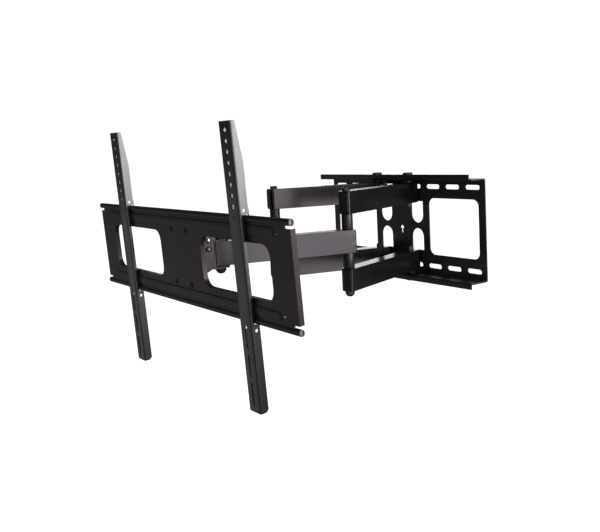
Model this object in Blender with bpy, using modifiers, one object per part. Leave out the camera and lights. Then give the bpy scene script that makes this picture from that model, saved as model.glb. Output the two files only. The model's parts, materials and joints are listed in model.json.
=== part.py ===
"""Full motion wall mount for a television, in metres, +Z up.

The origin is the centre of the wall plate's rear face. +X runs to the right for someone facing
the wall, +Y runs into the wall, and the television hangs towards -Y.
"""

import math

import bmesh
import bpy
from mathutils import Matrix, Vector

# Wall plate: a folded sheet with a flange and a lip along its top and bottom.
WALL_WIDTH = 0.450
WALL_HEIGHT = 0.193
WALL_SHEET = 0.0025
FLANGE_DEPTH = 0.040
LIP_HEIGHT = 0.009
LIP_INSET = 0.004
WALL_BEND = 0.0025
WALL_WINDOW_INNER = 0.079
WALL_WINDOW_OUTER = 0.209
WALL_WINDOW_HEIGHT = 0.113
WALL_WINDOW_CORNER = 0.013
WALL_SLOT_LENGTH = 0.036
WALL_SLOT_WIDTH = 0.009
WALL_SLOT_RISE = 0.0795
WALL_SLOT_PLACES = (0.040, 0.092, 0.1435, 0.195)
ARCH_WIDTH = 0.033
ARCH_HEIGHT = 0.044
ARCH_START = 0.0055
ARROW_TIP = 0.0007
ARROW_HEIGHT = 0.018
ARROW_WIDTH = 0.013
ARROW_STEM = 0.0045
ARROW_HEAD = 0.008

# Arms: rectangular tubes on vertical pivots.
PIVOT_SPREAD = 0.046
SHOULDER_STANDOFF = 0.023
ARM_LENGTH = 0.225
ARM_REACH = 0.429
TUBE_WIDTH = 0.026
TUBE_HEIGHT = 0.040
TUBE_WALL = 0.002
REAR_LEVEL = 0.068
SHOULDER_END = 0.017
ELBOW_END = 0.011
HEAD_END = 0.012
OUTER_CORNER = 0.009
INNER_CORNER = 0.002
FRONT_CORNER = 0.004
PLUG_DEPTH = 0.004
PLUG_LIP = 0.0012

# Pivot bolts, spacers and nuts.
BOLT_RADIUS = 0.004
BOLT_HEAD_RADIUS = 0.0072
BOLT_HEAD_HEIGHT = 0.005
SHOULDER_HEAD_RADIUS = 0.0108
SHOULDER_HEAD_HEIGHT = 0.0118
NUT_RADIUS = 0.0072
NUT_HEIGHT = 0.0065
CAP_RADIUS = 0.0085
CAP_HEIGHT = 0.0108
SPACER_RADIUS = 0.010
WASHER_RADIUS = 0.011
THREAD_END = 0.002
FIT = 0.0003

# Head: the yoke on the two arms, and the bracket that tilts on it.
HEAD_SHEET = 0.003
YOKE_WIDTH = 0.1254
YOKE_GAP = 0.0006
YOKE_BACK = 0.013
YOKE_FRONT = 0.0175
TILT_AHEAD = 0.031
TILT_LEVEL = 0.026
LOCK_DROP = 0.015
LOCK_RADIUS = 0.003
TILT_BOLT_RADIUS = 0.003
TILT_HEAD_RADIUS = 0.0057
TILT_HEAD_HEIGHT = 0.0042
LOCK_HEAD_RADIUS = 0.0048
LOCK_HEAD_HEIGHT = 0.0034
TILT_NUT_RADIUS = 0.0058
TILT_NUT_HEIGHT = 0.0045
EAR_RADIUS = 0.0067
CHEEK_RADIUS = 0.0077
CHEEK_SLOPE = 0.009
CHEEK_LENGTH = 0.046
REST_TILT = math.radians(3.44)
TILT_DOWN = math.radians(12.0)
TILT_UP = math.radians(5.0)

# Television plate, in its own frame: x across, y rearwards from its front face, z up.
PLATE_AHEAD = 0.018
PLATE_DROP = 0.030
PLATE_WIDTH = 0.652
PLATE_HEIGHT = 0.158
PLATE_SHEET = 0.002
RAIL_HEIGHT = 0.0098
RAIL_DEPTH = 0.0084
RAIL_AHEAD = 0.0022
RAIL_WALL = 0.0015
RAIL_CORNER = 0.0038
RAIL_CAP = 0.0014
NOTCH_LENGTH = 0.013
NOTCH_HEIGHT = 0.004
SIDE_DEPTH = 0.0084
PLATE_WINDOW_INNER = 0.0715
PLATE_WINDOW_OUTER = 0.2705
PLATE_WINDOW_HEIGHT = 0.081
PLATE_WINDOW_CORNER = 0.018
RIM_DEPTH = 0.0076
BEAD_HOLE_X = 0.292
BEAD_HOLE_Z = 0.057
BEAD_HOLE_RADIUS = 0.002
LEVEL_X = 0.0265
LEVEL_Z = 0.0445
LEVEL_RADIUS = 0.0025
LEVEL_HEAD_RADIUS = 0.005
LEVEL_HEAD_HEIGHT = 0.0022
LEVEL_NUT_RADIUS = 0.0046
LEVEL_NUT_HEIGHT = 0.004
LEVEL_TURN = math.radians(3.0)
BASE_MARGIN = 0.0115

# Television brackets: upright channels that hook over the plate's rails.
BRACKET_SPREAD = 0.200
BRACKET_LENGTH = 0.426
BRACKET_WIDTH = 0.0314
BRACKET_SHEET = 0.0018
BRACKET_BEND = 0.0016
BRACKET_AHEAD = 0.0082
BRACKET_DEPTH = 0.0153
BRACKET_TOP_DEPTH = 0.008
BRACKET_LOW_DEPTH = 0.0141
BRACKET_CLEAR = 0.0018
BRACKET_TAPER = 0.060
HOOK_TIP = 0.0016
HOOK_REACH = 0.007
HOOK_ROOT = 0.006
BRACKET_HOLE_RADIUS = 0.0036
BRACKET_HOLE_TOP = 0.200
BRACKET_HOLE_PITCH = 0.0155
BRACKET_HOLES = 8
BRACKET_PIN_HOLE = 0.075
BRACKET_PIN_RADIUS = 0.002
BRACKET_SLOT_LENGTH = 0.036
BRACKET_SLOT_WIDTH = 0.0062
BRACKET_SLOT_TOP = 0.082
BRACKET_SLOT_PITCH = 0.042
BRACKET_SLOTS = 3
SAFETY_HOLE_RADIUS = 0.0026
SAFETY_HOLE_OFFSET = 0.0065
BRACKET_CHAMFER = 0.0045

# Values that follow from the ones above.
ARM_ANGLE = math.acos(ARM_REACH / 2 / ARM_LENGTH)
SHOULDER_Y = -WALL_SHEET - SHOULDER_STANDOFF
HEAD_Y = SHOULDER_Y - ARM_REACH
FLANGE_INNER = WALL_HEIGHT / 2 - WALL_SHEET
REAR_TOP = REAR_LEVEL + TUBE_HEIGHT / 2
REAR_BOTTOM = REAR_LEVEL - TUBE_HEIGHT / 2
HOLE_RADIUS = BOLT_RADIUS + FIT
YOKE_INNER = TUBE_HEIGHT / 2 + YOKE_GAP
YOKE_TOP = YOKE_INNER + HEAD_SHEET
RAIL_INNER = PLATE_HEIGHT / 2 - RAIL_HEIGHT

UPRIGHT = Matrix.Rotation(math.pi / 2, 4, "X")
SIDEWAYS = Matrix(((0, 0, 1, 0), (1, 0, 0, 0), (0, 1, 0, 0), (0, 0, 0, 1)))

for old in list(bpy.data.objects):
    bpy.data.objects.remove(old)

mount = bpy.data.collections.new("tv_wall_mount")
bpy.context.scene.collection.children.link(mount)


def material(name, colour, roughness, metallic):
    made = bpy.data.materials.new(name)
    made.use_nodes = True
    shader = made.node_tree.nodes["Principled BSDF"]
    shader.inputs["Base Color"].default_value = (*colour, 1)
    shader.inputs["Roughness"].default_value = roughness
    shader.inputs["Metallic"].default_value = metallic
    return made


PLATE_PAINT = material("plate_paint", (0.012, 0.010, 0.011), 0.45, 0.0)
ARM_PAINT = material("arm_paint", (0.030, 0.026, 0.030), 0.42, 0.0)
BRACKET_PAINT = material("bracket_paint", (0.018, 0.015, 0.016), 0.40, 0.0)
BLACK_PLASTIC = material("black_plastic", (0.010, 0.010, 0.010), 0.55, 0.0)
BLACK_STEEL = material("black_steel", (0.020, 0.019, 0.019), 0.35, 0.6)
BRIGHT_STEEL = material("bright_steel", (0.70, 0.70, 0.70), 0.25, 1.0)


# Flat outlines, as lists of (u, v) points.


def arc(centre, radius, start, end, steps):
    """Points on an arc, from one angle to the other, both included."""
    turns = (start + (end - start) * i / steps for i in range(steps + 1))
    return [(centre[0] + radius * math.cos(a), centre[1] + radius * math.sin(a)) for a in turns]


def disc(radius, sides=20, centre=(0, 0)):
    return arc(centre, radius, 0, 2 * math.pi * (sides - 1) / sides, sides - 1)


def corners(low, high, radii, steps=4):
    """A rectangle with its own corner radius at lower left, lower right, upper right, upper left."""
    points = []
    places = ((low[0], low[1]), (high[0], low[1]), (high[0], high[1]), (low[0], high[1]))
    for i, ((u, v), radius) in enumerate(zip(places, radii)):
        inwards = (1 if i in (0, 3) else -1, 1 if i < 2 else -1)
        centre = (u + inwards[0] * radius, v + inwards[1] * radius)
        start = math.pi + i * math.pi / 2
        points += arc(centre, radius, start, start + math.pi / 2, steps) if radius else [(u, v)]
    return points


def rectangle(low, high, radius=0, steps=4):
    return corners(low, high, (radius,) * 4, steps)


def stadium(centre, length, width, steps=6):
    """A slot with round ends, its length along u."""
    half = (length - width) / 2
    right = arc((centre[0] + half, centre[1]), width / 2, -math.pi / 2, math.pi / 2, steps)
    left = arc((centre[0] - half, centre[1]), width / 2, math.pi / 2, 3 * math.pi / 2, steps)
    return right + left


def upright_stadium(centre, length, width, steps=6):
    return [(centre[0] - v, centre[1] + u) for u, v in stadium((0, 0), length, width, steps)]


def bent_slot(centre, around, radius, half_angle, steps=6):
    """A slot that follows an arc about another point, wide enough for a pin of the radius."""
    offset = Vector(centre) - Vector(around)
    angle, reach = math.atan2(offset.y, offset.x), offset.length
    outer = arc(around, reach + radius, angle - half_angle, angle + half_angle, steps)
    inner = arc(around, reach - radius, angle + half_angle, angle - half_angle, steps)
    ends = []
    for side in (1, -1):
        turn = angle + side * half_angle
        end = (around[0] + reach * math.cos(turn), around[1] + reach * math.sin(turn))
        first = turn if side > 0 else turn - math.pi
        ends.append(arc(end, radius, first, first + math.pi, steps)[1:-1])
    return outer + ends[0] + inner + ends[1]


def folded(path, thickness, radius, steps=4):
    """The outline of a sheet whose middle follows a path, with round bends."""
    middle = []
    for before, here, after in zip(path, path[1:], path[2:]):
        back = (Vector(before) - Vector(here)).normalized()
        ahead = (Vector(after) - Vector(here)).normalized()
        opening = back.angle(ahead)
        setback = radius / math.tan(opening / 2)
        centre = Vector(here) + (back + ahead).normalized() * radius / math.sin(opening / 2)
        first, last = Vector(here) + back * setback - centre, Vector(here) + ahead * setback - centre
        start = math.atan2(first.y, first.x)
        sweep = (math.atan2(last.y, last.x) - start + math.pi) % (2 * math.pi) - math.pi
        middle += arc(centre, radius, start, start + sweep, steps)
    middle = [Vector(path[0]), *(Vector(point) for point in middle), Vector(path[-1])]
    sides = ([], [])
    for i, point in enumerate(middle):
        along = (middle[min(i + 1, len(middle) - 1)] - middle[max(i - 1, 0)]).normalized()
        normal = Vector((-along.y, along.x)) * thickness / 2
        sides[0].append(tuple(point + normal))
        sides[1].append(tuple(point - normal))
    return sides[0] + sides[1][::-1]


# Solids: each is an object at the origin, to be combined and then placed.


def take_mesh(source, name):
    """An object whose mesh is the evaluated shape of another, which is removed."""
    graph = bpy.context.evaluated_depsgraph_get()
    mesh = bpy.data.meshes.new_from_object(source.evaluated_get(graph))
    mesh.transform(source.matrix_world)
    bpy.data.objects.remove(source)
    work = bmesh.new()
    work.from_mesh(mesh)
    bmesh.ops.remove_doubles(work, verts=work.verts, dist=1e-6)
    bmesh.ops.recalc_face_normals(work, faces=work.faces)
    work.to_mesh(mesh)
    work.free()
    made = bpy.data.objects.new(name, mesh)
    mount.objects.link(made)
    return made


def sheet(outlines, start, end, turn=Matrix.Identity(4)):
    """A plate between two heights: the first outline is its edge, the others are holes."""
    curve = bpy.data.curves.new("outline", "CURVE")
    curve.dimensions = "2D"
    curve.fill_mode = "BOTH"
    curve.extrude = (end - start) / 2
    for outline in outlines:
        spline = curve.splines.new("POLY")
        spline.points.add(len(outline) - 1)
        for point, (u, v) in zip(spline.points, outline):
            point.co = (u, v, 0, 1)
        spline.use_cyclic_u = True
    drawn = bpy.data.objects.new("outline", curve)
    mount.objects.link(drawn)
    drawn.matrix_world = turn @ Matrix.Translation((0, 0, (start + end) / 2))
    bpy.context.view_layer.update()
    return take_mesh(drawn, "sheet")


def rod(radius, start, end, sides=20, turn=Matrix.Identity(4), top_radius=None):
    """A bar along z between two heights, tapering if it has a top radius."""
    mesh = bpy.data.meshes.new("rod")
    work = bmesh.new()
    bmesh.ops.create_cone(
        work,
        cap_ends=True,
        segments=sides,
        radius1=radius,
        radius2=radius if top_radius is None else top_radius,
        depth=end - start,
        matrix=turn @ Matrix.Translation((0, 0, (start + end) / 2)),
    )
    work.to_mesh(mesh)
    work.free()
    made = bpy.data.objects.new("rod", mesh)
    mount.objects.link(made)
    return made


def block(low, high):
    mesh = bpy.data.meshes.new("block")
    work = bmesh.new()
    size = [b - a for a, b in zip(low, high)]
    middle = [(a + b) / 2 for a, b in zip(low, high)]
    bmesh.ops.create_cube(
        work, size=1, matrix=Matrix.Translation(middle) @ Matrix.Diagonal((*size, 1))
    )
    work.to_mesh(mesh)
    work.free()
    made = bpy.data.objects.new("block", mesh)
    mount.objects.link(made)
    return made


def combined(base, others, operation):
    for other in others:
        step = base.modifiers.new(operation.lower(), "BOOLEAN")
        step.operation = operation
        step.object = other
    bpy.context.view_layer.update()
    made = take_mesh(base, "combined")
    for other in others:
        bpy.data.objects.remove(other)
    return made


def joined(base, *others):
    return combined(base, others, "UNION")


def cut(base, *others):
    return combined(base, others, "DIFFERENCE")


def turned_round(profile, sides=20):
    """A closed turned shape from (radius, height) points that run from the top down."""
    mesh = bpy.data.meshes.new("profile")
    mesh.from_pydata([(radius, 0, height) for radius, height in profile],
                     [(i, i + 1) for i in range(len(profile) - 1)], [])
    made = bpy.data.objects.new("profile", mesh)
    mount.objects.link(made)
    screw = made.modifiers.new("turn", "SCREW")
    screw.steps = screw.render_steps = sides
    screw.use_merge_vertices = True
    screw.merge_threshold = 1e-6
    bpy.context.view_layer.update()
    return take_mesh(made, "turned")


def axis(name, location, turn=(0, 0, 0), parent=None):
    """An empty on a joint's axis."""
    made = bpy.data.objects.new(name, None)
    made.empty_display_size = 0.02
    mount.objects.link(made)
    made.parent = parent
    made.location = location
    made.rotation_euler = turn
    return made


def finish(made, name, paint, parent, location=(0, 0, 0), turn=(0, 0, 0)):
    made.name = name
    made.data.name = name
    made.data.materials.clear()
    made.data.materials.append(paint)
    made.data.shade_smooth()
    made.data.set_sharp_from_angle(angle=math.radians(35))
    made.parent = parent
    made.location = location
    made.rotation_euler = turn
    return made


# Fasteners, each with its axis along z.


def hex_bolt(shank_from, shank_to, head_radius=BOLT_HEAD_RADIUS, head_height=BOLT_HEAD_HEIGHT):
    """A hexagon head above shank_from, and a shank down to shank_to."""
    head = rod(head_radius, shank_from, shank_from + head_height, 6)
    shank = rod(BOLT_RADIUS, shank_to, shank_from + head_height / 2)
    return joined(head, shank)


def ring(outer, inner, start, end, sides=20):
    return sheet([disc(outer, sides), disc(inner)], start, end)


def dome_bolt(head_radius, head_height, shank_radius, length, steps=4):
    """A domed head above z = 0 and a shank below it."""
    sphere = (head_radius**2 + head_height**2) / (2 * head_height)
    edge = math.asin(head_radius / sphere)
    dome = [(sphere * math.sin(edge * i / steps),
             head_height - sphere * (1 - math.cos(edge * i / steps))) for i in range(steps + 1)]
    return turned_round([*dome, (shank_radius, 0), (shank_radius, -length), (0, -length)])


# Wall plate.


def arch(x, upwards):
    """A round-ended opening whose round end points at the plate's middle."""
    radius = ARCH_WIDTH / 2
    curve = arc((x, ARCH_START + radius), radius, math.pi, 2 * math.pi, 10)
    flat = [(x + radius, ARCH_START + ARCH_HEIGHT), (x - radius, ARCH_START + ARCH_HEIGHT)]
    return [(u, v if upwards else -v) for u, v in curve + flat]


def arrow():
    """An arrow that shows which way up the plate goes."""
    head = ARROW_TIP - ARROW_HEAD
    foot = ARROW_TIP - ARROW_HEIGHT
    half = ARROW_STEM / 2
    return [(0, ARROW_TIP), (-ARROW_WIDTH / 2, head), (-half, head), (-half, foot), (half, foot),
            (half, head), (ARROW_WIDTH / 2, head)]


def wall_plate():
    lip = -WALL_SHEET / 2 - FLANGE_DEPTH
    face = -WALL_SHEET / 2
    flange = WALL_HEIGHT / 2 - WALL_SHEET / 2
    tip = WALL_HEIGHT / 2 + LIP_HEIGHT
    path = [(lip, tip), (lip, flange), (face, flange)]
    path += [(y, -z) for y, z in reversed(path)]
    body = sheet([folded(path, WALL_SHEET, WALL_BEND)], -WALL_WIDTH / 2, WALL_WIDTH / 2, SIDEWAYS)
    openings = [arrow()]
    for side in (-1, 1):
        low, high = sorted((side * WALL_WINDOW_INNER, side * WALL_WINDOW_OUTER))
        half = WALL_WINDOW_HEIGHT / 2
        openings.append(rectangle((low, -half), (high, half), WALL_WINDOW_CORNER))
        openings += [arch(side * PIVOT_SPREAD, upwards) for upwards in (True, False)]
        for place in WALL_SLOT_PLACES:
            for level in (-WALL_SLOT_RISE, WALL_SLOT_RISE):
                openings.append(stadium((side * place, level), WALL_SLOT_LENGTH, WALL_SLOT_WIDTH))
    cutters = [sheet([outline], -0.01, 0.01, UPRIGHT) for outline in openings]
    for side in (-1, 1):
        drill = rod(HOLE_RADIUS, -WALL_HEIGHT, WALL_HEIGHT)
        drill.data.transform(Matrix.Translation((side * PIVOT_SPREAD, SHOULDER_Y, 0)))
        cutters.append(drill)
        near, far = sorted((side * (WALL_WIDTH / 2 - LIP_INSET), side * WALL_WIDTH))
        lip_back = -FLANGE_DEPTH + WALL_BEND / 2
        cutters.append(block((near, lip_back - 3 * WALL_SHEET, -WALL_HEIGHT), (far, lip_back, WALL_HEIGHT)))
    return cut(body, *cutters)


finish(wall_plate(), "wall_plate", PLATE_PAINT, None)

SIDES = (("right", 1), ("left", -1))
LEVELS = (("upper", 1), ("lower", -1))

washer_gap = FLANGE_INNER - REAR_TOP
for side_name, side in SIDES:
    for level_name, level in LEVELS:
        here = (side * PIVOT_SPREAD, SHOULDER_Y, 0)
        flip = (0 if level > 0 else math.pi, 0, 0)
        tail = f"{level_name}_{side_name}"
        bolt = hex_bolt(WALL_HEIGHT / 2 + FIT, REAR_BOTTOM - NUT_HEIGHT - FIT - THREAD_END,
                        SHOULDER_HEAD_RADIUS, SHOULDER_HEAD_HEIGHT)
        finish(bolt, f"shoulder_bolt_{tail}", BLACK_STEEL, None, here, flip)
        washer = ring(WASHER_RADIUS, HOLE_RADIUS, REAR_TOP + FIT, REAR_TOP + washer_gap - FIT)
        finish(washer, f"shoulder_washer_{tail}", BLACK_PLASTIC, None, here, flip)
        nut = sheet([disc(NUT_RADIUS, 6), disc(HOLE_RADIUS)],
                    REAR_BOTTOM - NUT_HEIGHT - FIT, REAR_BOTTOM - FIT)
        finish(nut, f"shoulder_nut_{tail}", BLACK_STEEL, None, here, flip)


# Arms. Each link lies along +x from its first pivot, at x = 0, to its second.


def link(first_end, second_end, elbow_x, radii):
    """A tube with a pivot hole near each end. The elbow end turns in, and its plug fills the rest."""
    low, high = -first_end, ARM_LENGTH + second_end
    half = TUBE_WIDTH / 2
    shell = sheet([corners((low, -half), (high, half), radii)], -TUBE_HEIGHT / 2, TUBE_HEIGHT / 2)
    inside = TUBE_HEIGHT / 2 - TUBE_WALL
    window = plug_window()
    if elbow_x > 0:
        bore = rectangle((low - 0.01, -half + TUBE_WALL), (high - TUBE_WALL, half - TUBE_WALL), 0)
        mouth = rectangle((high - 2 * TUBE_WALL, window[0]), (high + 0.01, window[1]))
    else:
        bore = rectangle((low + TUBE_WALL, -half + TUBE_WALL), (high + 0.01, half - TUBE_WALL), 0)
        mouth = rectangle((low - 0.01, window[0]), (low + 2 * TUBE_WALL, window[1]))
    cutters = [sheet([bore], -inside, inside), sheet([mouth], -inside, inside)]
    for x in (0, ARM_LENGTH):
        drill = rod(HOLE_RADIUS, -TUBE_HEIGHT, TUBE_HEIGHT)
        drill.data.transform(Matrix.Translation((x, 0, 0)))
        cutters.append(drill)
    return cut(shell, *cutters)


def plug_window():
    """The span across the tube that the elbow end's plug fills, on the side of its small corner."""
    return -TUBE_WIDTH / 2 + TUBE_WALL, TUBE_WIDTH / 2 - OUTER_CORNER


def plug(end_x, outwards):
    """The plastic plug in a link's elbow end."""
    low, high = (edge for edge in plug_window())
    half = TUBE_HEIGHT / 2 - TUBE_WALL - FIT
    inner, outer = sorted((end_x - outwards * PLUG_DEPTH, end_x + outwards * PLUG_LIP))
    return block((inner, low + FIT, -half), (outer, high - FIT, half))


for side_name, side in SIDES:
    shoulder = axis(f"shoulder_axis_{side_name}", (side * PIVOT_SPREAD, SHOULDER_Y, 0),
                    (0, 0, -math.pi / 2 + side * ARM_ANGLE))
    elbow = axis(f"elbow_axis_{side_name}", (ARM_LENGTH, 0, 0), (0, 0, -side * 2 * ARM_ANGLE), shoulder)
    # The outer corner of the rear link is on -y for the right arm, so the left arm's links are
    # turned over.
    over = (0 if side < 0 else math.pi, 0, 0)
    outer_right = (0, INNER_CORNER, OUTER_CORNER, 0)
    for level_name, level in LEVELS:
        here = (0, 0, level * REAR_LEVEL)
        tail = f"{level_name}_{side_name}"
        finish(link(SHOULDER_END, ELBOW_END, 1, outer_right), f"rear_link_{tail}", ARM_PAINT,
               shoulder, here, over)
        finish(plug(ARM_LENGTH + ELBOW_END, 1), f"rear_link_plug_{tail}", BLACK_PLASTIC,
               shoulder, here, over)
        spacer = ring(SPACER_RADIUS, HOLE_RADIUS, TUBE_HEIGHT / 2 + FIT, REAR_BOTTOM - FIT)
        flip = (0 if level > 0 else math.pi, 0, 0)
        finish(spacer, f"elbow_spacer_{tail}", BLACK_STEEL, shoulder, (ARM_LENGTH, 0, 0), flip)
    bolt = hex_bolt(REAR_TOP + FIT, -REAR_TOP - CAP_HEIGHT + THREAD_END)
    finish(bolt, f"elbow_bolt_{side_name}", BLACK_STEEL, shoulder, (ARM_LENGTH, 0, 0))
    cap = cut(rod(CAP_RADIUS, -REAR_TOP - CAP_HEIGHT, -REAR_TOP - FIT, 6),
              rod(HOLE_RADIUS, -REAR_TOP - CAP_HEIGHT + THREAD_END - FIT, 0))
    finish(cap, f"elbow_nut_{side_name}", BLACK_STEEL, shoulder, (ARM_LENGTH, 0, 0))
    finish(link(ELBOW_END, HEAD_END, -1, (INNER_CORNER, FRONT_CORNER, FRONT_CORNER, OUTER_CORNER)),
           f"front_link_{side_name}", ARM_PAINT, elbow, (0, 0, 0), over)
    finish(plug(-ELBOW_END, -1), f"front_link_plug_{side_name}", BLACK_PLASTIC, elbow, (0, 0, 0), over)

# Head. The yoke rides on the right arm's end, and is square to the wall.

head = axis("head_axis", (ARM_LENGTH, 0, 0), (0, 0, math.pi / 2 + ARM_ANGLE),
            bpy.data.objects["elbow_axis_right"])
HEAD_X = PIVOT_SPREAD


def ear_outline(radius):
    """A side view, in (y, z) about the tilt axis: round over the pivot, down past the lock bolt."""
    return arc((0, 0), radius, 0, math.pi, 8) + arc((0, -LOCK_DROP), radius, math.pi, 2 * math.pi, 8)


def yoke():
    """Two level plates round the arm ends, a web in front of them and two ears for the tilt bolts."""
    half = YOKE_WIDTH / 2
    web_back, web_front = -YOKE_FRONT, -YOKE_FRONT - HEAD_SHEET
    outline = corners((-half, web_front), (half, YOKE_BACK), (0, 0, YOKE_BACK, YOKE_BACK))
    holes = [disc(HOLE_RADIUS, centre=(side * PIVOT_SPREAD, 0)) for side in (-1, 1)]
    top = sheet([outline, *holes], YOKE_INNER, YOKE_TOP)
    bottom = sheet([outline, *holes], -YOKE_TOP, -YOKE_INNER)
    web = block((-half + FIT, web_front + FIT / 2, -YOKE_TOP + HEAD_SHEET / 2),
                (half - FIT, web_back, YOKE_TOP - HEAD_SHEET / 2))
    pieces = [bottom, web]
    tilt = (-TILT_AHEAD, TILT_LEVEL)
    for side in (-1, 1):
        ear = [(y + tilt[0], z + tilt[1]) for y, z in ear_outline(EAR_RADIUS)]
        root = [(web_back - HEAD_SHEET / 3, -YOKE_TOP + HEAD_SHEET / 3),
                (web_back - HEAD_SHEET / 3, tilt[1] + EAR_RADIUS / 2),
                (tilt[0], tilt[1] + EAR_RADIUS * 0.999), (tilt[0], tilt[1] - LOCK_DROP - EAR_RADIUS)]
        hole = disc(TILT_BOLT_RADIUS + FIT, 16, tilt)
        lock = disc(LOCK_RADIUS + FIT, 16, (tilt[0], tilt[1] - LOCK_DROP))
        start, end = sorted((side * half, side * (half - HEAD_SHEET)))
        cheek = joined(sheet([ear], start, end, SIDEWAYS),
                       sheet([root], start + FIT / 3, end - FIT / 3, SIDEWAYS))
        pieces.append(cut(cheek, *(sheet([o], start - 0.01, end + 0.01, SIDEWAYS) for o in (hole, lock))))
    return joined(top, *pieces)


# Everything on the head is placed from the yoke's middle, between the two head pivots.
centre = axis("yoke_centre", (-HEAD_X, 0, 0), (0, 0, 0), head)
finish(yoke(), "yoke", PLATE_PAINT, centre)
for side_name, side in SIDES:
    here = (side * PIVOT_SPREAD, 0, 0)
    bolt = hex_bolt(YOKE_TOP + FIT, -YOKE_TOP - CAP_HEIGHT + THREAD_END)
    finish(bolt, f"head_bolt_{side_name}", BLACK_STEEL, centre, here)
    cap = cut(rod(CAP_RADIUS, -YOKE_TOP - CAP_HEIGHT, -YOKE_TOP - FIT, 6),
              rod(HOLE_RADIUS, -YOKE_TOP - CAP_HEIGHT + THREAD_END - FIT, 0))
    finish(cap, f"head_nut_{side_name}", BLACK_STEEL, centre, here)

# Tilt bolts run along x, their heads outside the tilt bracket's cheeks.
CHEEK_INNER = YOKE_WIDTH / 2 + FIT
CHEEK_OUTER = CHEEK_INNER + HEAD_SHEET
EAR_INNER = YOKE_WIDTH / 2 - HEAD_SHEET
for side_name, side in SIDES:
    aim = (0, side * math.pi / 2, 0)
    spot = (side * (CHEEK_OUTER + FIT), -TILT_AHEAD, TILT_LEVEL)
    low = (spot[0], spot[1], TILT_LEVEL - LOCK_DROP)
    length = CHEEK_OUTER + FIT - EAR_INNER + TILT_NUT_HEIGHT
    bolt = dome_bolt(TILT_HEAD_RADIUS, TILT_HEAD_HEIGHT, TILT_BOLT_RADIUS, length)
    finish(bolt, f"tilt_bolt_{side_name}", BRIGHT_STEEL, centre, spot, aim)
    bolt = dome_bolt(LOCK_HEAD_RADIUS, LOCK_HEAD_HEIGHT, LOCK_RADIUS, length)
    finish(bolt, f"tilt_lock_bolt_{side_name}", BRIGHT_STEEL, centre, low, aim)

# Everything that tilts is placed from the middle of the television plate's front face.
tilting = axis("tilt_axis", (0, -TILT_AHEAD, TILT_LEVEL), (REST_TILT, 0, 0), centre)
plate_centre = axis("plate_centre", (0, -PLATE_AHEAD, -PLATE_DROP), (0, 0, 0), tilting)


def tilt_bracket():
    """A base behind the plate and two cheeks outside the yoke's ears."""
    back = PLATE_SHEET + FIT
    half = CHEEK_OUTER
    rise = LEVEL_Z + BASE_MARGIN
    outline = rectangle((-half, -rise), (half, rise), 0.004)
    slots = [bent_slot((sx * LEVEL_X, sz * LEVEL_Z), (0, 0), LEVEL_RADIUS + FIT, LEVEL_TURN * 1.3)
             for sx in (-1, 1) for sz in (-1, 1)]
    base = sheet([outline, *slots], -back - HEAD_SHEET, -back, UPRIGHT)
    cheeks = []
    pivot = (PLATE_AHEAD, PLATE_DROP)
    for side in (-1, 1):
        start, end = sorted((side * CHEEK_INNER, side * CHEEK_OUTER))
        root_y = back + HEAD_SHEET / 2
        foot = pivot[1] - CHEEK_LENGTH
        profile = [(root_y, foot - CHEEK_SLOPE), (pivot[0] + CHEEK_RADIUS - FIT, foot),
                   (pivot[0] + CHEEK_RADIUS, foot + FIT * 3),
                   *arc(pivot, CHEEK_RADIUS, 0, math.pi / 2, 6), (root_y, pivot[1] + CHEEK_RADIUS)]
        inset = FIT / 3
        cheek = sheet([profile], start + inset, end - inset, SIDEWAYS)
        hole = disc(TILT_BOLT_RADIUS + FIT, 16, pivot)
        middle = (TILT_DOWN - TILT_UP) / 2
        reach = Matrix.Rotation(-middle, 2) @ Vector((0, -LOCK_DROP))
        lock = bent_slot((pivot[0] + reach.x, pivot[1] + reach.y), pivot, LOCK_RADIUS + FIT,
                         (TILT_DOWN + TILT_UP) / 2 + math.radians(2))
        cheeks.append(cut(cheek, *(sheet([o], start - 0.01, end + 0.01, SIDEWAYS) for o in (hole, lock))))
    return joined(base, *cheeks)


finish(tilt_bracket(), "tilt_bracket", PLATE_PAINT, plate_centre)


def rail_outline(inset):
    """The section of a rail, in (y, z) about its own middle."""
    half_y, half_z = RAIL_DEPTH / 2 - inset, RAIL_HEIGHT / 2 - inset
    return rectangle((-half_y, -half_z), (half_y, half_z), RAIL_CORNER - inset)


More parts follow.
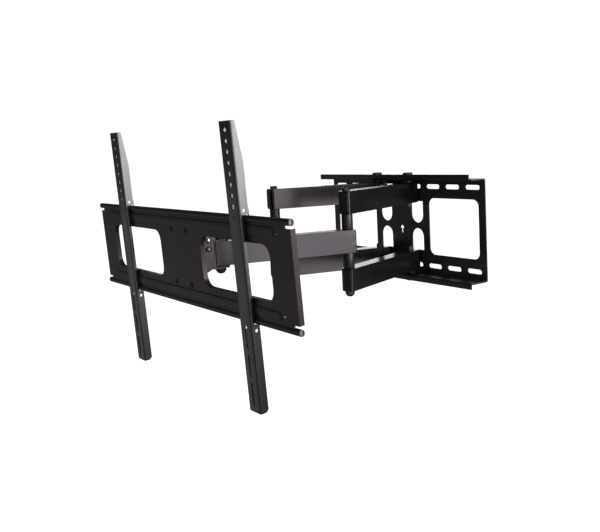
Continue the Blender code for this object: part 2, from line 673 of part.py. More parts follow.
def tv_plate():
    """The sheet with its two windows, the rims behind them, the side flanges and the two rails."""
    half_x, half_z = PLATE_WIDTH / 2, PLATE_HEIGHT / 2
    sheet_top = RAIL_INNER + RAIL_WALL / 2
    notch = RAIL_INNER - NOTCH_HEIGHT
    lap = PLATE_SHEET / 2
    corners_of = [(sx, sz) for sx in (-1, 1) for sz in (-1, 1)]
    holes = [disc(LEVEL_RADIUS + FIT, 12, (sx * LEVEL_X, sz * LEVEL_Z)) for sx, sz in corners_of]
    holes += [disc(BEAD_HOLE_RADIUS, 10, (sx * BEAD_HOLE_X, sz * BEAD_HOLE_Z)) for sx, sz in corners_of]
    cutters = []
    for sx, sz in corners_of:
        near, far = sorted((sx * (half_x - NOTCH_LENGTH), sx * (half_x + lap)))
        low, high = sorted((sz * notch, sz * half_z))
        cutters.append(block((near, -lap, low), (far, PLATE_SHEET + lap, high)))
    pieces = []
    for side in (-1, 1):
        low, high = sorted((side * PLATE_WINDOW_INNER, side * PLATE_WINDOW_OUTER))
        rise = PLATE_WINDOW_HEIGHT / 2
        holes.append(rectangle((low, -rise), (high, rise), PLATE_WINDOW_CORNER))
        rim = (low - PLATE_SHEET, -rise - PLATE_SHEET), (high + PLATE_SHEET, rise + PLATE_SHEET)
        pieces.append(sheet([rectangle(*rim, PLATE_WINDOW_CORNER + PLATE_SHEET)], -RIM_DEPTH, -lap, UPRIGHT))
        start, end = sorted((side * (half_x - lap / 4), side * (half_x - PLATE_SHEET)))
        pieces.append(block((start, lap / 4, -notch + FIT), (end, SIDE_DEPTH, notch - FIT)))
    for level in (-1, 1):
        middle_y = RAIL_DEPTH / 2 - RAIL_AHEAD
        middle_z = level * (half_z - RAIL_HEIGHT / 2)
        pieces.append(sheet([[(y + middle_y, z + middle_z) for y, z in rail_outline(inset)]
                             for inset in (0, RAIL_WALL)], -half_x, half_x, SIDEWAYS))
    flat = sheet([rectangle((-half_x, -sheet_top), (half_x, sheet_top))], -PLATE_SHEET, 0, UPRIGHT)
    drawn = joined(cut(flat, *cutters), *pieces)
    return cut(drawn, *(sheet([outline], -2 * RIM_DEPTH, lap, UPRIGHT) for outline in holes))


finish(tv_plate(), "tv_plate", PLATE_PAINT, plate_centre)

for side_name, side in SIDES:
    for level_name, level in LEVELS:
        end = PLATE_WIDTH / 2 + FIT
        collar = sheet([rail_outline(0)], end, end + RAIL_CAP, SIDEWAYS)
        core = sheet([rail_outline(RAIL_WALL + FIT)], end - PLUG_DEPTH, end + RAIL_CAP / 2, SIDEWAYS)
        middle_z = level * (PLATE_HEIGHT / 2 - RAIL_HEIGHT / 2)
        finish(joined(collar, core), f"rail_cap_{level_name}_{side_name}", BLACK_PLASTIC, plate_centre,
               (0, RAIL_DEPTH / 2 - RAIL_AHEAD, middle_z), (0, 0 if side > 0 else math.pi, 0))
        length = PLATE_SHEET + FIT * 2 + HEAD_SHEET + FIT + LEVEL_NUT_HEIGHT
        screw = dome_bolt(LEVEL_HEAD_RADIUS, LEVEL_HEAD_HEIGHT, LEVEL_RADIUS, length, 3)
        finish(screw, f"level_screw_{level_name}_{side_name}", BLACK_STEEL, plate_centre,
               (side * LEVEL_X, -FIT, level * LEVEL_Z), (math.pi / 2, 0, 0))
        back = PLATE_SHEET + FIT + HEAD_SHEET + FIT
        nut = sheet([disc(LEVEL_NUT_RADIUS, 6), disc(LEVEL_RADIUS + FIT, 16)], -back - LEVEL_NUT_HEIGHT,
                    -back)
        finish(nut, f"level_nut_{level_name}_{side_name}", BLACK_STEEL, plate_centre,
               (side * LEVEL_X, 0, level * LEVEL_Z), (math.pi / 2, 0, 0))


# Television brackets. Each has its origin in the plate's middle plane, at its own place along x.


def bracket_side():
    """A side flange, in (y, z): deep above the top rail, hooked over it, and shallow below."""
    front = -BRACKET_AHEAD
    top, bottom = BRACKET_LENGTH / 2, -BRACKET_LENGTH / 2
    rail_back = RAIL_DEPTH - RAIL_AHEAD + FIT
    seat = PLATE_HEIGHT / 2 + FIT
    below = RAIL_INNER - FIT
    rail_front = -RAIL_AHEAD - FIT
    on_plate = -BRACKET_CLEAR
    deep = front + BRACKET_DEPTH
    shallow = front + BRACKET_LOW_DEPTH
    hook_back = rail_back + HOOK_TIP
    return [
        (front + BRACKET_TOP_DEPTH, top), (deep, top - BRACKET_TAPER),
        (deep, seat + 2 * HOOK_ROOT), (hook_back, seat + HOOK_ROOT), (hook_back, seat - HOOK_REACH),
        (rail_back, seat - HOOK_REACH), (rail_back, seat), (rail_front, seat), (rail_front, below),
        (on_plate, below - NOTCH_HEIGHT), (on_plate, -below + NOTCH_HEIGHT), (rail_front, -below),
        (rail_front, -seat), (shallow, -seat - FIT), (shallow, bottom + BRACKET_CHAMFER),
        (shallow - BRACKET_CHAMFER, bottom), (front - 0.01, bottom - 0.0), (front - 0.01, top),
    ]


def tv_bracket():
    half = BRACKET_WIDTH / 2 - BRACKET_SHEET / 2
    face = -BRACKET_AHEAD + BRACKET_SHEET / 2
    rear = RAIL_DEPTH + HOOK_TIP + 0.002
    path = [(-half, rear), (-half, face), (half, face), (half, rear)]
    channel = sheet([folded(path, BRACKET_SHEET, BRACKET_BEND)], -BRACKET_LENGTH / 2 + FIT,
                    BRACKET_LENGTH / 2 - FIT)
    shaped = combined(channel, [sheet([bracket_side()], -BRACKET_WIDTH, BRACKET_WIDTH, SIDEWAYS)],
                      "INTERSECT")
    front_cuts = [disc(BRACKET_HOLE_RADIUS, 12, (0, BRACKET_HOLE_TOP - i * BRACKET_HOLE_PITCH))
                  for i in range(BRACKET_HOLES)]
    front_cuts.append(disc(BRACKET_PIN_RADIUS, 10, (0, BRACKET_PIN_HOLE)))
    for i in range(BRACKET_SLOTS):
        middle = -BRACKET_SLOT_TOP - i * BRACKET_SLOT_PITCH - BRACKET_SLOT_LENGTH / 2
        front_cuts.append(upright_stadium((0, middle), BRACKET_SLOT_LENGTH, BRACKET_SLOT_WIDTH, 5))
    cutters = [sheet([outline], 0.0, 0.02, UPRIGHT) for outline in front_cuts]
    seat = PLATE_HEIGHT / 2 + SAFETY_HOLE_OFFSET
    for z in (seat, -seat - SAFETY_HOLE_OFFSET / 2):
        hole = disc(SAFETY_HOLE_RADIUS, 12, (-BRACKET_AHEAD + BRACKET_LOW_DEPTH * 0.6, z))
        cutters.append(sheet([hole], -BRACKET_WIDTH, BRACKET_WIDTH, SIDEWAYS))
    return cut(shaped, *cutters)


for side_name, side in SIDES:
    finish(tv_bracket(), f"tv_bracket_{side_name}", BRACKET_PAINT, plate_centre,
           (side * BRACKET_SPREAD, 0, 0))
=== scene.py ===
import json
import math

import bmesh
import bpy
import numpy as np
from mathutils import Matrix, Vector


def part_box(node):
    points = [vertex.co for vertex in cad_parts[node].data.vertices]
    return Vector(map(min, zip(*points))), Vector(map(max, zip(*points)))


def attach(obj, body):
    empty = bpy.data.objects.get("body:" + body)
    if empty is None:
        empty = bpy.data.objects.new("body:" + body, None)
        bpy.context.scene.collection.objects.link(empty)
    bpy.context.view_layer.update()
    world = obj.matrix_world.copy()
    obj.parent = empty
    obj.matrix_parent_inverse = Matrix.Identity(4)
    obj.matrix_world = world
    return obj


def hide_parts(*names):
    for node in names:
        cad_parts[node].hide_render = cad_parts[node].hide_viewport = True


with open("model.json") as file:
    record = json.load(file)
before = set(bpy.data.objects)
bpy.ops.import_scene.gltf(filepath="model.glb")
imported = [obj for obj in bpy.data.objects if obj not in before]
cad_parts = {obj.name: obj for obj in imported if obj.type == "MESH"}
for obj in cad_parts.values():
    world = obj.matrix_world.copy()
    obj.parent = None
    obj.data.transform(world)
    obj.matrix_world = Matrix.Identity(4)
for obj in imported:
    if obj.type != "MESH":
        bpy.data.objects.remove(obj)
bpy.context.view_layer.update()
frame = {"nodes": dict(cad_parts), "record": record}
print("frame loaded")

joints = {joint["name"]: joint for joint in frame["record"]["behaviour"]["joints"]}
sides = (("right", 1), ("left", -1))
levels = (("upper", 1), ("lower", -1))


# shader helpers: arithmetic on a Wire adds Math nodes
class Wire:
    def __init__(self, kit, socket):
        self.kit = kit
        self.socket = socket

    def math(self, operation, *others):
        return self.kit.add("ShaderNodeMath", {"operation": operation}, dict(enumerate([self, *others])))

    def __add__(self, other):
        return self.math("ADD", other)

    def __sub__(self, other):
        return self.math("SUBTRACT", other)

    def __mul__(self, other):
        return self.math("MULTIPLY", other)

    def __rsub__(self, other):
        return (self * -1) + other

    __radd__ = __add__
    __rmul__ = __mul__

    def clipped(self):
        return self.math("MAXIMUM", 0.0).math("MINIMUM", 1.0)

    def between(self, low, high):
        # 0 at low and 1 at high, straight in between
        return ((self - low) * (1 / (high - low))).clipped()


class Finish:
    # one material, whose nodes all come from add()
    def __init__(self, name, **fixed):
        self.material = bpy.data.materials.new(name)
        self.material.use_nodes = True
        self.tree = self.material.node_tree
        self.shader = self.tree.nodes["Principled BSDF"]
        self.place = self.add("ShaderNodeTexCoord", {}, {}, "Object")
        for socket, value in fixed.items():
            self.shader.inputs[socket.replace("_", " ")].default_value = value

    def add(self, kind, settings, sockets, output=0):
        node = self.tree.nodes.new(kind)
        for name, value in settings.items():
            setattr(node, name, value)
        for name, value in sockets.items():
            if isinstance(value, Wire):
                value = value.socket
            if isinstance(value, bpy.types.NodeSocket):
                self.tree.links.new(value, node.inputs[name])
            else:
                node.inputs[name].default_value = value
        return Wire(self, node.outputs[output])

    def noise(self, scale, detail=2.0, stretch=(1, 1, 1)):
        # scale is in cells per metre
        place = self.place
        if stretch != (1, 1, 1):
            place = self.add("ShaderNodeMapping", {}, {"Vector": place, "Scale": stretch})
        sockets = {"Vector": place, "Scale": scale, "Detail": detail}
        return self.add("ShaderNodeTexNoise", {}, sockets, "Fac")

    def mix(self, factor, low, high):
        # sockets 0, 6 and 7 are the factor and the two colours, and output 2 is the colour
        return self.add("ShaderNodeMix", {"data_type": "RGBA"}, {0: factor, 6: (*low, 1), 7: (*high, 1)}, 2)

    def link(self, wire, socket):
        self.tree.links.new(wire.socket, self.shader.inputs[socket])

    def bump(self, height, strength, distance):
        sockets = {"Height": height, "Strength": strength, "Distance": distance}
        normal = self.add("ShaderNodeBump", {}, sockets)
        self.link(normal, "Normal")


clouded = (0.3, 0.7)  # most of a noise's values lie between these


def powderCoat(name, look):
    # black powder coat: a fine grain, a slow orange peel, streaks, and paler clouds of thin dust
    made = Finish(name, Specular_IOR_Level=look["specular"], Specular_Tint=look["tint"],
                  Coat_Roughness=look["coatGloss"])
    grain = made.noise(look["grain"], 3.0)
    peel = made.noise(look["peel"], 2.0)
    cloud = made.noise(look["cloud"], 4.0)
    streak = made.noise(look["streak"], 3.0, look["streakStretch"])
    dust = (cloud * 0.6 + streak * 0.4).between(*look["dust"])
    made.link(made.mix(dust, look["dark"], look["pale"]), "Base Color")
    made.link(grain * look["grainGloss"] + streak * look["streakGloss"] + look["gloss"], "Roughness")
    made.link(cloud.between(*clouded) * look["coat"], "Coat Weight")
    made.bump(grain * 0.6 + peel * 0.4 + streak * look["streakBump"], look["bump"], look["bumpHeight"])
    return made.material


coatLook = dict(cloud=14.0, dust=(0.35, 0.72), coatGloss=0.35, bumpHeight=0.0002)
plateLook = dict(
    coatLook, dark=(0.0048, 0.0040, 0.0045), pale=(0.0085, 0.0073, 0.0080), tint=(1.0, 0.84, 0.93, 1),
    specular=0.35, gloss=0.34, grainGloss=0.10, streakGloss=0.06, coat=0.06, bump=0.28, streakBump=0.0,
    grain=1900.0, peel=420.0, streak=60.0, streakStretch=(0.15, 1, 1),
)
wallLook = dict(plateLook, specular=0.54, tint=(1.0, 0.92, 0.95, 1))
armLook = dict(
    coatLook, dark=(0.0045, 0.0037, 0.0042), pale=(0.0080, 0.0068, 0.0078), tint=(1.0, 0.92, 0.985, 1),
    specular=0.60, gloss=0.13, grainGloss=0.05, streakGloss=0.12, coat=0.12, bump=0.16, streakBump=0.5,
    grain=1700.0, peel=380.0, streak=700.0, streakStretch=(0.02, 0.02, 1),
)
bracketLook = dict(
    coatLook, dark=(0.0075, 0.0066, 0.0074), pale=(0.0125, 0.0113, 0.0124), tint=(0.98, 0.97, 1.0, 1),
    specular=0.60, gloss=0.20, grainGloss=0.08, streakGloss=0.06, coat=0.10, bump=0.16, streakBump=0.0,
    grain=1800.0, peel=400.0, streak=80.0, streakStretch=(1, 1, 0.12),
)
platePaint = powderCoat("platePaint", plateLook)
wallPaint = powderCoat("wallPaint", wallLook)
armPaint = powderCoat("armPaint", armLook)
bracketPaint = powderCoat("bracketPaint", bracketLook)

plasticLook = dict(specular=0.45, texture=2600.0, cloud=90.0, textureGloss=0.12, bump=0.22, bumpHeight=0.0002)


def mouldedPlastic(name, dark, pale, gloss):
    # a fine moulded texture, with slow clouds in its colour
    made = Finish(name, Specular_IOR_Level=plasticLook["specular"])
    texture = made.noise(plasticLook["texture"], 2.0)
    cloud = made.noise(plasticLook["cloud"], 3.0)
    made.link(made.mix(cloud.between(*clouded), dark, pale), "Base Color")
    made.link(texture * plasticLook["textureGloss"] + gloss, "Roughness")
    made.bump(texture, plasticLook["bump"], plasticLook["bumpHeight"])
    return made.material


blackPlastic = mouldedPlastic("blackPlastic", (0.0070, 0.0066, 0.0072), (0.0120, 0.0112, 0.0120), 0.38)
ringPlastic = mouldedPlastic("ringPlastic", (0.12, 0.117, 0.122), (0.19, 0.186, 0.192), 0.24)

steelLook = dict(specular=0.5, scratch=1500.0, stretch=(1, 1, 0.2), tarnish=160.0, tarnishFrom=(0.35, 0.7),
                 tarnishGloss=0.14, scratchGloss=0.10, wornFrom=(0.2, 0.4), wornMetal=0.1, bump=0.12,
                 bumpHeight=0.0001)


def boltSteel(name, dark, pale, metal, gloss):
    # plated or blackened metal, with small scratches and tarnish
    made = Finish(name, Specular_IOR_Level=steelLook["specular"])
    scratch = made.noise(steelLook["scratch"], 4.0, steelLook["stretch"])
    tarnish = made.noise(steelLook["tarnish"], 4.0)
    made.link(made.mix(tarnish.between(*steelLook["tarnishFrom"]), dark, pale), "Base Color")
    made.link(tarnish * steelLook["tarnishGloss"] + scratch * steelLook["scratchGloss"] + gloss, "Roughness")
    made.link(tarnish.between(*steelLook["wornFrom"]) * steelLook["wornMetal"] + metal, "Metallic")
    made.bump(scratch, steelLook["bump"], steelLook["bumpHeight"])
    return made.material


blackSteel = boltSteel("blackSteel", (0.012, 0.0115, 0.012), (0.026, 0.025, 0.026), 0.30, 0.26)
brightSteel = boltSteel("brightSteel", (0.36, 0.35, 0.36), (0.52, 0.51, 0.52), 0.88, 0.26)
dullSteel = boltSteel("dullSteel", (0.09, 0.088, 0.09), (0.16, 0.157, 0.16), 0.80, 0.30)
print("materials made")


# mesh helpers
edges = dict(merge=2e-6, sliver=1e-7, flat=0.6, sharp=38, rolled=48)  # two in metres, three in degrees


def register(piece, paint, body, nodes):
    # shades a piece, gives it its paint and slot, and has it ride on a body in place of its CAD nodes
    piece.data.materials.clear()
    piece.data.materials.append(paint)
    piece.data.shade_smooth()
    piece.data.set_sharp_from_angle(angle=math.radians(edges["sharp"]))
    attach(piece, body)
    if nodes:
        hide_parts(*nodes)


def settled(name, mesh):
    # merges the seam and the poles, and turns every face outwards
    work = bmesh.new()
    work.from_mesh(mesh)
    bmesh.ops.remove_doubles(work, verts=work.verts, dist=edges["merge"])
    bmesh.ops.dissolve_degenerate(work, edges=work.edges, dist=edges["sliver"])
    bmesh.ops.recalc_face_normals(work, faces=work.faces)
    work.to_mesh(mesh)
    work.free()
    piece = bpy.data.objects.new(name, mesh)
    bpy.context.scene.collection.objects.link(piece)
    return piece


def gridPiece(name, grid, place, closedRows=False):
    # the grid is rows x columns x 3: columns close round on themselves, and rows only if asked
    rows, columns = grid.shape[:2]
    index = np.arange(rows * columns).reshape(rows, columns)
    top = index if closedRows else index[:-1]
    below = np.roll(index, -1, 0) if closedRows else index[1:]
    quads = np.stack([top, np.roll(top, -1, 1), np.roll(below, -1, 1), below], -1).reshape(-1, 4)
    points = grid.reshape(-1, 3) @ np.array(place.to_3x3()).T + np.array(place.translation)
    mesh = bpy.data.meshes.new(name)
    mesh.from_pydata(points.tolist(), [], quads.tolist())
    return settled(name, mesh)


hexCorner = 1.2  # a little past a hexagon's corner, which is 1.155 apothems from its middle
allRound = 1.0  # an apothem wider than any piece, so that a row stays round


def hexRadius(angles, apothem):
    # distance to a hexagon's edge: apothem over the cosine of the angle from the nearest flat
    return apothem / np.cos((angles % (math.pi / 3)) - math.pi / 6)


def latheGrid(profile, sides=48):
    # radius and height of each row, turned about z
    profile = np.array(profile, float)
    angles = np.linspace(0, 2 * math.pi, sides, endpoint=False)
    radius, height = profile[:, :1], profile[:, 1:]
    return np.stack([radius * np.cos(angles), radius * np.sin(angles), height + 0 * angles], -1)


def hexGrid(rows, sides=72):
    # each row is (cone radius, height, apothem), and takes the smaller of the cone and the hexagon,
    # so a chamfer meets each flat in the curve that turning a hexagon bar leaves
    rows = np.array(rows, float)
    angles = np.linspace(0, 2 * math.pi, sides, endpoint=False)
    radius = np.minimum(rows[:, :1], hexRadius(angles, rows[:, 2:]))
    return np.stack([radius * np.cos(angles), radius * np.sin(angles), rows[:, 1:2] + 0 * angles], -1)


def restyled(node, paint, body, bevel, segments=2):
    # a copy of the CAD solid: merged, its flat faces joined up, and every sharp edge rolled over
    mesh = frame["nodes"][node].data.copy()
    mesh.name = node + "Finished"
    work = bmesh.new()
    work.from_mesh(mesh)
    bmesh.ops.remove_doubles(work, verts=work.verts, dist=edges["merge"])
    flat = math.radians(edges["flat"])
    bmesh.ops.dissolve_limit(work, angle_limit=flat, verts=work.verts, edges=work.edges)
    bmesh.ops.recalc_face_normals(work, faces=work.faces)
    work.to_mesh(mesh)
    work.free()
    piece = bpy.data.objects.new(node + "Finished", mesh)
    bpy.context.scene.collection.objects.link(piece)
    register(piece, paint, body, [node])
    rolled = piece.modifiers.new("edges", "BEVEL")
    rolled.width = bevel
    rolled.segments = segments
    rolled.limit_method = "ANGLE"
    rolled.angle_limit = math.radians(edges["rolled"])
    rolled.harden_normals = True


# places, all from the frame's joints
def jointPlace(name):
    # a point on the joint's axis, in metres
    return Vector(joints[name]["pos_m"])


def upright(x, y, flip=False):
    # z up, or down when flipped, about a vertical pivot
    turn = Matrix.Rotation(math.pi, 4, "X") if flip else Matrix.Identity(4)
    return Matrix.Translation((x, y, 0)) @ turn


plateNormal = Vector(joints["screen_level"]["axis"])
plateTilt = math.atan2(-plateNormal.z, -plateNormal.y)
plateMatrix = Matrix.Translation(jointPlace("screen_level")) @ Matrix.Rotation(plateTilt, 4, "X")
outOfPlate = Matrix.Rotation(math.pi / 2, 4, "X")  # turns z to the plate's front normal
print("plate tilt", round(math.degrees(plateTilt), 2))

# sheet metal and tubes keep the CAD shape, with rolled edges
rolledEdge = dict(sheet=0.0005, plate=0.00045, bracket=0.0004, tube=0.0009, plug=0.0007)
restyled("wall_plate", wallPaint, "wall", rolledEdge["sheet"])
restyled("tv_plate", platePaint, "tv_plate", rolledEdge["plate"])
restyled("tilt_bracket", platePaint, "tilt_bracket", rolledEdge["sheet"])
restyled("yoke", platePaint, "head", rolledEdge["sheet"])
for side, sign in sides:
    bracket = f"tv_bracket_{side}"
    restyled(bracket, bracketPaint, bracket, rolledEdge["bracket"])
    restyled(f"front_link_{side}", armPaint, f"front_arm_{side}", rolledEdge["tube"], 3)
    for level, up in levels:
        link = f"rear_link_{level}_{side}"
        restyled(link, armPaint, f"rear_arm_{side}", rolledEdge["tube"], 3)
print("sheet metal and tubes")

# fasteners
pivotHead = dict(apothem=0.0060, height=0.0050, shank=0.0040, washer=0.0072, flange=0.0010, dish=0.0003,
                 chamfer=0.0010, roll=0.0002, thread=0.00125, threadDepth=0.00045, threadLength=0.006,
                 tip=0.0006, runOut=0.001)
shoulderHead = dict(pivotHead, apothem=0.0088, height=0.0118, washer=0.0108, flange=0.0018,
                    threadLength=0.012)
shoulderNut = dict(apothem=0.0062, bore=0.0043, chamfer=0.0007)
levelNut = dict(shoulderNut, apothem=0.0040, bore=0.0028, low=-0.0093, high=-0.0053)
capNut = dict(apothem=0.0073, radius=0.0070, bore=0.0043, crown=0.0017, waist=0.42, chamfer=0.0007,
              lead=0.0004, groove=0.0002)
shoulderWasher = dict(outer=0.0110, inner=0.0043, soft=0.0005)
elbowSpacer = dict(outer=0.0100, inner=0.0043, soft=0.0007)


def boltRows(head, low, high):
    # from the top down: dished and chamfered hexagon, pressed flange, shank, thread, chamfered tip
    a, r, dish, chamfer, roll = (head[key] for key in ("apothem", "shank", "dish", "chamfer", "roll"))
    seat = high - head["height"]
    flangeTop = seat + head["flange"]
    threadTop = low + head["threadLength"]
    rows = [(0, high - dish, allRound), (a * 0.55, high - dish, allRound), (a * 0.62, high, allRound),
            (a * 0.98, high, a), (a * 1.16, high - chamfer * 0.6, a), (a * hexCorner, high - chamfer, a),
            (a * hexCorner, flangeTop, a), (head["washer"], flangeTop, allRound),
            (head["washer"], seat + roll, allRound), (head["washer"] - roll, seat, allRound),
            (r, seat, allRound), (r, threadTop, allRound)]
    for turn in range(int((threadTop - low - head["runOut"]) / head["thread"])):
        z = threadTop - turn * head["thread"]
        rows += [(r - head["threadDepth"], z - head["thread"] * 0.5, allRound),
                 (r, z - head["thread"], allRound)]
    return rows + [(r, low + head["tip"], allRound), (r - head["tip"], low, allRound), (0, low, allRound)]


def nutGrid(nut, low, high):
    # outside up, over the chamfers and back down the bore
    a, c = nut["apothem"], nut["chamfer"]
    lead = c * 0.6
    return hexGrid([(a * 1.03, low, a), (a * hexCorner, low + c, a), (a * hexCorner, high - c, a),
                    (a * 1.03, high, a), (nut["bore"] + lead, high, allRound),
                    (nut["bore"], high - lead, allRound), (nut["bore"], low + lead, allRound),
                    (nut["bore"] + lead, low, allRound)])


def capNutGrid(low, high):
    # up the blind bore, over the hexagon and down a dome that is a quarter of an ellipse
    a, bore, lead = capNut["apothem"], capNut["bore"], capNut["lead"]
    floor = low + capNut["crown"]
    waist = low + (high - low) * capNut["waist"]
    dome = waist - capNut["groove"]
    rows = [(0, floor, allRound), (bore, floor, allRound), (bore, high - lead, allRound),
            (bore + lead, high, allRound), (a * 1.04, high, a), (a * hexCorner, high - capNut["chamfer"], a),
            (a * hexCorner, waist + lead, a), (a * 1.02, waist, a)]
    turn = np.linspace(0, math.pi / 2, 9)
    rows += zip(capNut["radius"] * np.cos(turn), dome - (dome - low) * np.sin(turn), 0 * turn + allRound)
    return hexGrid(rows)


def ringGrid(ring, low, high):
    # a washer or sleeve: a square section, its two outer corners rolled and its two inner ones cut off
    outer, inner, soft = ring["outer"], ring["inner"], ring["soft"]
    part = soft * 0.3  # where the middle of a rolled corner lies
    return latheGrid([(outer - soft, low), (outer - part, low + part), (outer, low + soft),
                      (outer, high - soft), (outer - part, high - part), (outer - soft, high),
                      (inner + soft, high), (inner, high - soft), (inner, low + soft), (inner + soft, low)])


def heights(node):
    # the lower and the upper end of a CAD node
    low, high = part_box(node)
    return low[2], high[2]


def reach(node):
    # the same as distances from the middle plane, nearer end first, for upright and flipped pieces alike
    return sorted(abs(z) for z in heights(node))


for side, sign in sides:
    pivot = jointPlace(f"shoulder_{side}_swing")
    elbow = jointPlace(f"elbow_{side}_fold")
    head = Vector((pivot.x, jointPlace("head_turn").y, 0))
    for level, up in levels:
        name = f"{level}_{side}"
        place = upright(pivot.x, pivot.y, up < 0)
        rows = boltRows(shoulderHead, *reach(f"shoulder_bolt_{name}"))
        piece = gridPiece(f"shoulderBolt_{name}", hexGrid(rows), place)
        register(piece, blackSteel, "wall", [f"shoulder_bolt_{name}"])
        grid = ringGrid(shoulderWasher, *reach(f"shoulder_washer_{name}"))
        piece = gridPiece(f"shoulderWasher_{name}", grid, place, True)
        register(piece, blackPlastic, "wall", [f"shoulder_washer_{name}"])
        grid = nutGrid(shoulderNut, *reach(f"shoulder_nut_{name}"))
        piece = gridPiece(f"shoulderNut_{name}", grid, place, True)
        register(piece, blackSteel, "wall", [f"shoulder_nut_{name}"])
        place = upright(elbow.x, elbow.y, up < 0)
        grid = ringGrid(elbowSpacer, *reach(f"elbow_spacer_{name}"))
        piece = gridPiece(f"elbowSpacer_{name}", grid, place, True)
        register(piece, blackSteel, f"rear_arm_{side}", [f"elbow_spacer_{name}"])
    for joint, spot, body in (("elbow", elbow, f"rear_arm_{side}"), ("head", head, "head")):
        place = upright(spot.x, spot.y)
        rows = boltRows(pivotHead, *heights(f"{joint}_bolt_{side}"))
        piece = gridPiece(f"{joint}Bolt_{side}", hexGrid(rows), place)
        register(piece, blackSteel, body, [f"{joint}_bolt_{side}"])
        grid = capNutGrid(*heights(f"{joint}_nut_{side}"))
        piece = gridPiece(f"{joint}Nut_{side}", grid, place)
        register(piece, blackSteel, body, [f"{joint}_nut_{side}"])
print("pivot bolts")

# domed screws with a hexagon socket
tiltBolt = dict(radius=0.0057, height=0.0042, shank=0.0030, socket=0.0022, depth=0.0022, socketRim=1.25,
                lead=0.0004, roll=0.0002, thread=0.0008, threadDepth=0.0003, tip=0.0004, runOut=0.001)
lockBolt = dict(tiltBolt, radius=0.0048, height=0.0034, socket=0.0019, depth=0.0018)
levelScrew = dict(tiltBolt, radius=0.0050, height=0.0014, shank=0.0025, socket=0.0012, depth=0.0004,
                  length=0.0099, across=0.0265, rise=0.0445, seat=0.0003)


def domeRows(screw, length):
    # the socket's floor, its hexagon wall, over a dome that is part of a ball, and down the shank
    radius, height, socket, shank = (screw[key] for key in ("radius", "height", "socket", "shank"))
    ball = (radius**2 + height**2) / (2 * height)
    edge = math.asin(radius / ball)
    turn = np.linspace(math.asin(socket * screw["socketRim"] / ball), edge * 0.98, 7)
    floor = height - screw["depth"]
    rows = [(0, floor, allRound), (allRound, floor, socket), (allRound, height - screw["lead"], socket)]
    rows += zip(ball * np.sin(turn), height - ball * (1 - np.cos(turn)), 0 * turn + allRound)
    rows += [(radius, screw["roll"], allRound), (radius - screw["roll"], 0, allRound), (shank, 0, allRound)]
    for ridge in range(int((length - screw["runOut"]) / screw["thread"])):
        rows += [(shank, -ridge * screw["thread"], allRound),
                 (shank - screw["threadDepth"], -(ridge + 0.5) * screw["thread"], allRound)]
    return rows + [(shank, screw["tip"] - length, allRound), (shank - screw["tip"], -length, allRound),
                   (0, -length, allRound)]


for side, sign in sides:
    for kind, screw, steel, node in (("tiltBolt", tiltBolt, brightSteel, f"tilt_bolt_{side}"),
                                     ("lockBolt", lockBolt, dullSteel, f"tilt_lock_bolt_{side}")):
        low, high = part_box(node)
        outer = high[0] if sign > 0 else low[0]
        middle = ((low[1] + high[1]) / 2, (low[2] + high[2]) / 2)
        place = (Matrix.Translation((outer - sign * screw["height"], *middle))
                 @ Matrix.Rotation(sign * math.pi / 2, 4, "Y"))
        rows = domeRows(screw, high[0] - low[0] - screw["height"])
        piece = gridPiece(f"{kind}_{side}", hexGrid(rows), place)
        register(piece, steel, "head", [node])
    for level, up in levels:
        name = f"{level}_{side}"
        spot = (sign * levelScrew["across"], -levelScrew["seat"], up * levelScrew["rise"])
        place = plateMatrix @ Matrix.Translation(spot) @ outOfPlate
        rows = domeRows(levelScrew, levelScrew["length"])
        piece = gridPiece(f"levelScrew_{name}", hexGrid(rows), place)
        register(piece, platePaint, "tv_plate", [f"level_screw_{name}"])
        grid = nutGrid(levelNut, levelNut["low"], levelNut["high"])
        piece = gridPiece(f"levelNut_{name}", grid, place, True)
        register(piece, blackSteel, "tv_plate", [f"level_nut_{name}"])
print("screws")

# plastic plugs
for side, sign in sides:
    for level, up in levels:
        plug = f"rear_link_plug_{level}_{side}"
        restyled(plug, blackPlastic, f"rear_arm_{side}", rolledEdge["plug"], 3)
    plug = f"front_link_plug_{side}"
    restyled(plug, blackPlastic, f"front_arm_{side}", rolledEdge["plug"], 3)

# caps in the ends of the two rails
tvPlate = dict(width=0.652, height=0.158)
railCap = dict(depth=0.0084, height=0.0098, corner=0.0038, lip=0.0014, recess=0.0024, plug=0.0037,
               taper=0.0006, wall=0.0019, gap=0.0003, behind=0.0020)


def loopGrid(rows, steps=6):
    # each row is (inset, offset): the rail's section, pulled in by the inset, at the offset along x
    turn = np.linspace(0, math.pi / 2, steps + 1)
    around = np.concatenate([turn + quarter * math.pi / 2 for quarter in range(4)])
    signs = np.repeat([[1, 1], [-1, 1], [-1, -1], [1, -1]], steps + 1, axis=0)
    grid = []
    for inset, offset in rows:
        corner = max(railCap["corner"] - inset, 0.0)
        half = np.maximum(np.array([railCap["depth"], railCap["height"]]) / 2 - inset - corner, 0.0)
        y = np.cos(around) * corner + signs[:, 0] * half[0]
        z = np.sin(around) * corner + signs[:, 1] * half[1]
        grid.append(np.stack([0 * y + offset, y, z], -1))
    return np.stack(grid)


def capRows():
    # from the middle of the recess, up its wall, over the rounded lip, and back along the plug to its end
    lip, wall = railCap["lip"], railCap["wall"]
    floor = lip - railCap["recess"]
    middle = railCap["depth"] / 2
    end = -railCap["plug"] - railCap["taper"]
    return [(middle, floor), (wall + 0.0004, floor), (wall, floor + 0.0008), (0.0013, lip - 0.0003),
            (0.0009, lip), (0.0004, lip - 0.0001), (0.0001, lip - 0.0004), (0.0, 0.0002), (0.0002, 0.0),
            (wall, 0.0), (wall, -railCap["plug"]), (wall + 0.0005, end), (middle, end)]


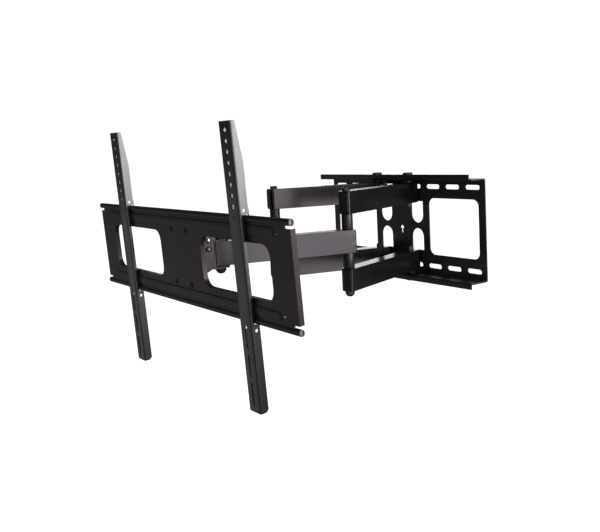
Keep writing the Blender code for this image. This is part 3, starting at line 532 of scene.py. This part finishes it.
for side, sign in sides:
    for level, up in levels:
        name = f"{level}_{side}"
        spot = (sign * (tvPlate["width"] / 2 + railCap["gap"]), railCap["behind"],
                up * (tvPlate["height"] - railCap["height"]) / 2)
        turn = Matrix.Rotation(0 if sign > 0 else math.pi, 4, "Z")
        place = plateMatrix @ Matrix.Translation(spot) @ turn
        piece = gridPiece(f"railCap_{name}", loopGrid(capRows()), place)
        register(piece, ringPlastic, "tv_plate", [f"rail_cap_{name}"])

# long beads pressed out of the plate, above and below its windows
bead = dict(length=0.574, height=0.0166, level=0.0588, proud=0.0012, slope=0.0024, sunk=0.0005, foot=0.0002)


def stadiumGrid(rows, steps=10):
    # each row is (inset, offset): a bar with round ends, pulled in by the inset, at the offset along z
    turn = np.linspace(-math.pi / 2, math.pi / 2, steps + 1)
    around = np.concatenate([turn, turn + math.pi])
    ends = np.repeat([1, -1], steps + 1) * (bead["length"] - bead["height"]) / 2
    grid = []
    for inset, offset in rows:
        radius = bead["height"] / 2 - inset
        x, y = ends + np.cos(around) * radius, np.sin(around) * radius
        grid.append(np.stack([x, y, 0 * around + offset], -1))
    return np.stack(grid)


def beadRows():
    # a closed foot inside the sheet, then half a cosine wave up to the flat top
    share = np.linspace(0, 1, 7)
    rise = bead["proud"] * (1 - np.cos(math.pi * share)) / 2
    middle = bead["height"] / 2
    return [(middle, -bead["sunk"]), (bead["foot"], -bead["sunk"]), *zip(bead["slope"] * share, rise),
            (middle, bead["proud"])]


for level, up in levels:
    place = plateMatrix @ Matrix.Translation((0, 0, up * bead["level"])) @ outOfPlate
    piece = gridPiece(f"plateBead_{level}", stadiumGrid(beadRows()), place)
    register(piece, platePaint, "tv_plate", [])
print("plugs, caps and beads")

# floor, light and camera
studio = dict(reach=30.0, floorHeight=-1.1, white=1.02, fill=0.10, middle=(0, -0.25, -0.02),
              lampColour=(1.0, 0.975, 1.0))
shot = dict(lens=43.8947, sensor=36.0, shift=(-0.104288, -0.094098), place=(1.1072, -1.0381, 0.1611),
            degrees=(85.1912, 2.3433, 49.7747))
bpy.context.scene.view_settings.view_transform = "Standard"
mesh = bpy.data.meshes.new("floor")
corners = [(x * studio["reach"], y * studio["reach"], studio["floorHeight"])
           for x, y in ((-1, -1), (1, -1), (1, 1), (-1, 1))]
mesh.from_pydata(corners, [], [(0, 1, 2, 3)])
floor = bpy.data.objects.new("floor", mesh)
bpy.context.scene.collection.objects.link(floor)
paleFloor = Finish("paleFloor", Base_Color=(0.90, 0.90, 0.90, 1), Roughness=0.9, Emission_Color=(1, 1, 1, 1),
                   Emission_Strength=studio["white"])
mesh.materials.append(paleFloor.material)
floor.visible_diffuse = False
floor.visible_glossy = False

# the world is white where the camera sees it, and a weak fill light for everything else
world = bpy.data.worlds.new("studio")
world.use_nodes = True
bpy.context.scene.world = world
nodes, links = world.node_tree.nodes, world.node_tree.links
backdrop = nodes["Background"]
seen = nodes.new("ShaderNodeLightPath")
strength = nodes.new("ShaderNodeMapRange")
strength.inputs["To Min"].default_value = studio["fill"]
strength.inputs["To Max"].default_value = studio["white"]
links.new(seen.outputs["Is Camera Ray"], strength.inputs["Value"])
links.new(strength.outputs["Result"], backdrop.inputs["Strength"])
backdrop.inputs["Color"].default_value = (1, 1, 1, 1)


def softBox(name, angle, rise, distance, size, watts):
    # angle is measured from +X towards +Y round the middle of the mount, and rise from level
    target = Vector(studio["middle"])
    turn, lift = math.radians(angle), math.radians(rise)
    ahead = Vector((math.cos(turn) * math.cos(lift), math.sin(turn) * math.cos(lift), math.sin(lift)))
    lamp = bpy.data.lights.new(name, "AREA")
    lamp.shape = "RECTANGLE"
    lamp.size, lamp.size_y = size
    lamp.energy = watts
    lamp.color = studio["lampColour"]
    holder = bpy.data.objects.new(name, lamp)
    holder.visible_camera = False
    bpy.context.scene.collection.objects.link(holder)
    holder.location = target + distance * ahead
    holder.rotation_euler = (-ahead).to_track_quat("-Z", "Y").to_euler()


softBox("rightBackBox", 23, 14, 3.3, (1.0, 2.2), 105)
softBox("rightBox", -8, 4, 3.0, (2.2, 2.2), 42)
softBox("leftBackBox", 140, 4, 2.8, (2.2, 1.2), 14)
softBox("topBox", 250, 70, 2.4, (2.0, 2.0), 6)
softBox("frontBox", 219, -17, 3.2, (2.0, 1.6), 3.4)
softBox("floorBox", 232, -58, 2.6, (2.4, 1.6), 7)
softBox("cameraBox", 292, 2, 3.2, (2.6, 2.0), 8)

camera = bpy.data.cameras.new("camera")
camera.sensor_width = shot["sensor"]
camera.lens = shot["lens"]
camera.shift_x, camera.shift_y = shot["shift"]
holder = bpy.data.objects.new("camera", camera)
bpy.context.scene.collection.objects.link(holder)
holder.location = shot["place"]
holder.rotation_euler = [math.radians(angle) for angle in shot["degrees"]]
bpy.context.scene.camera = holder
print("floor, light and camera")
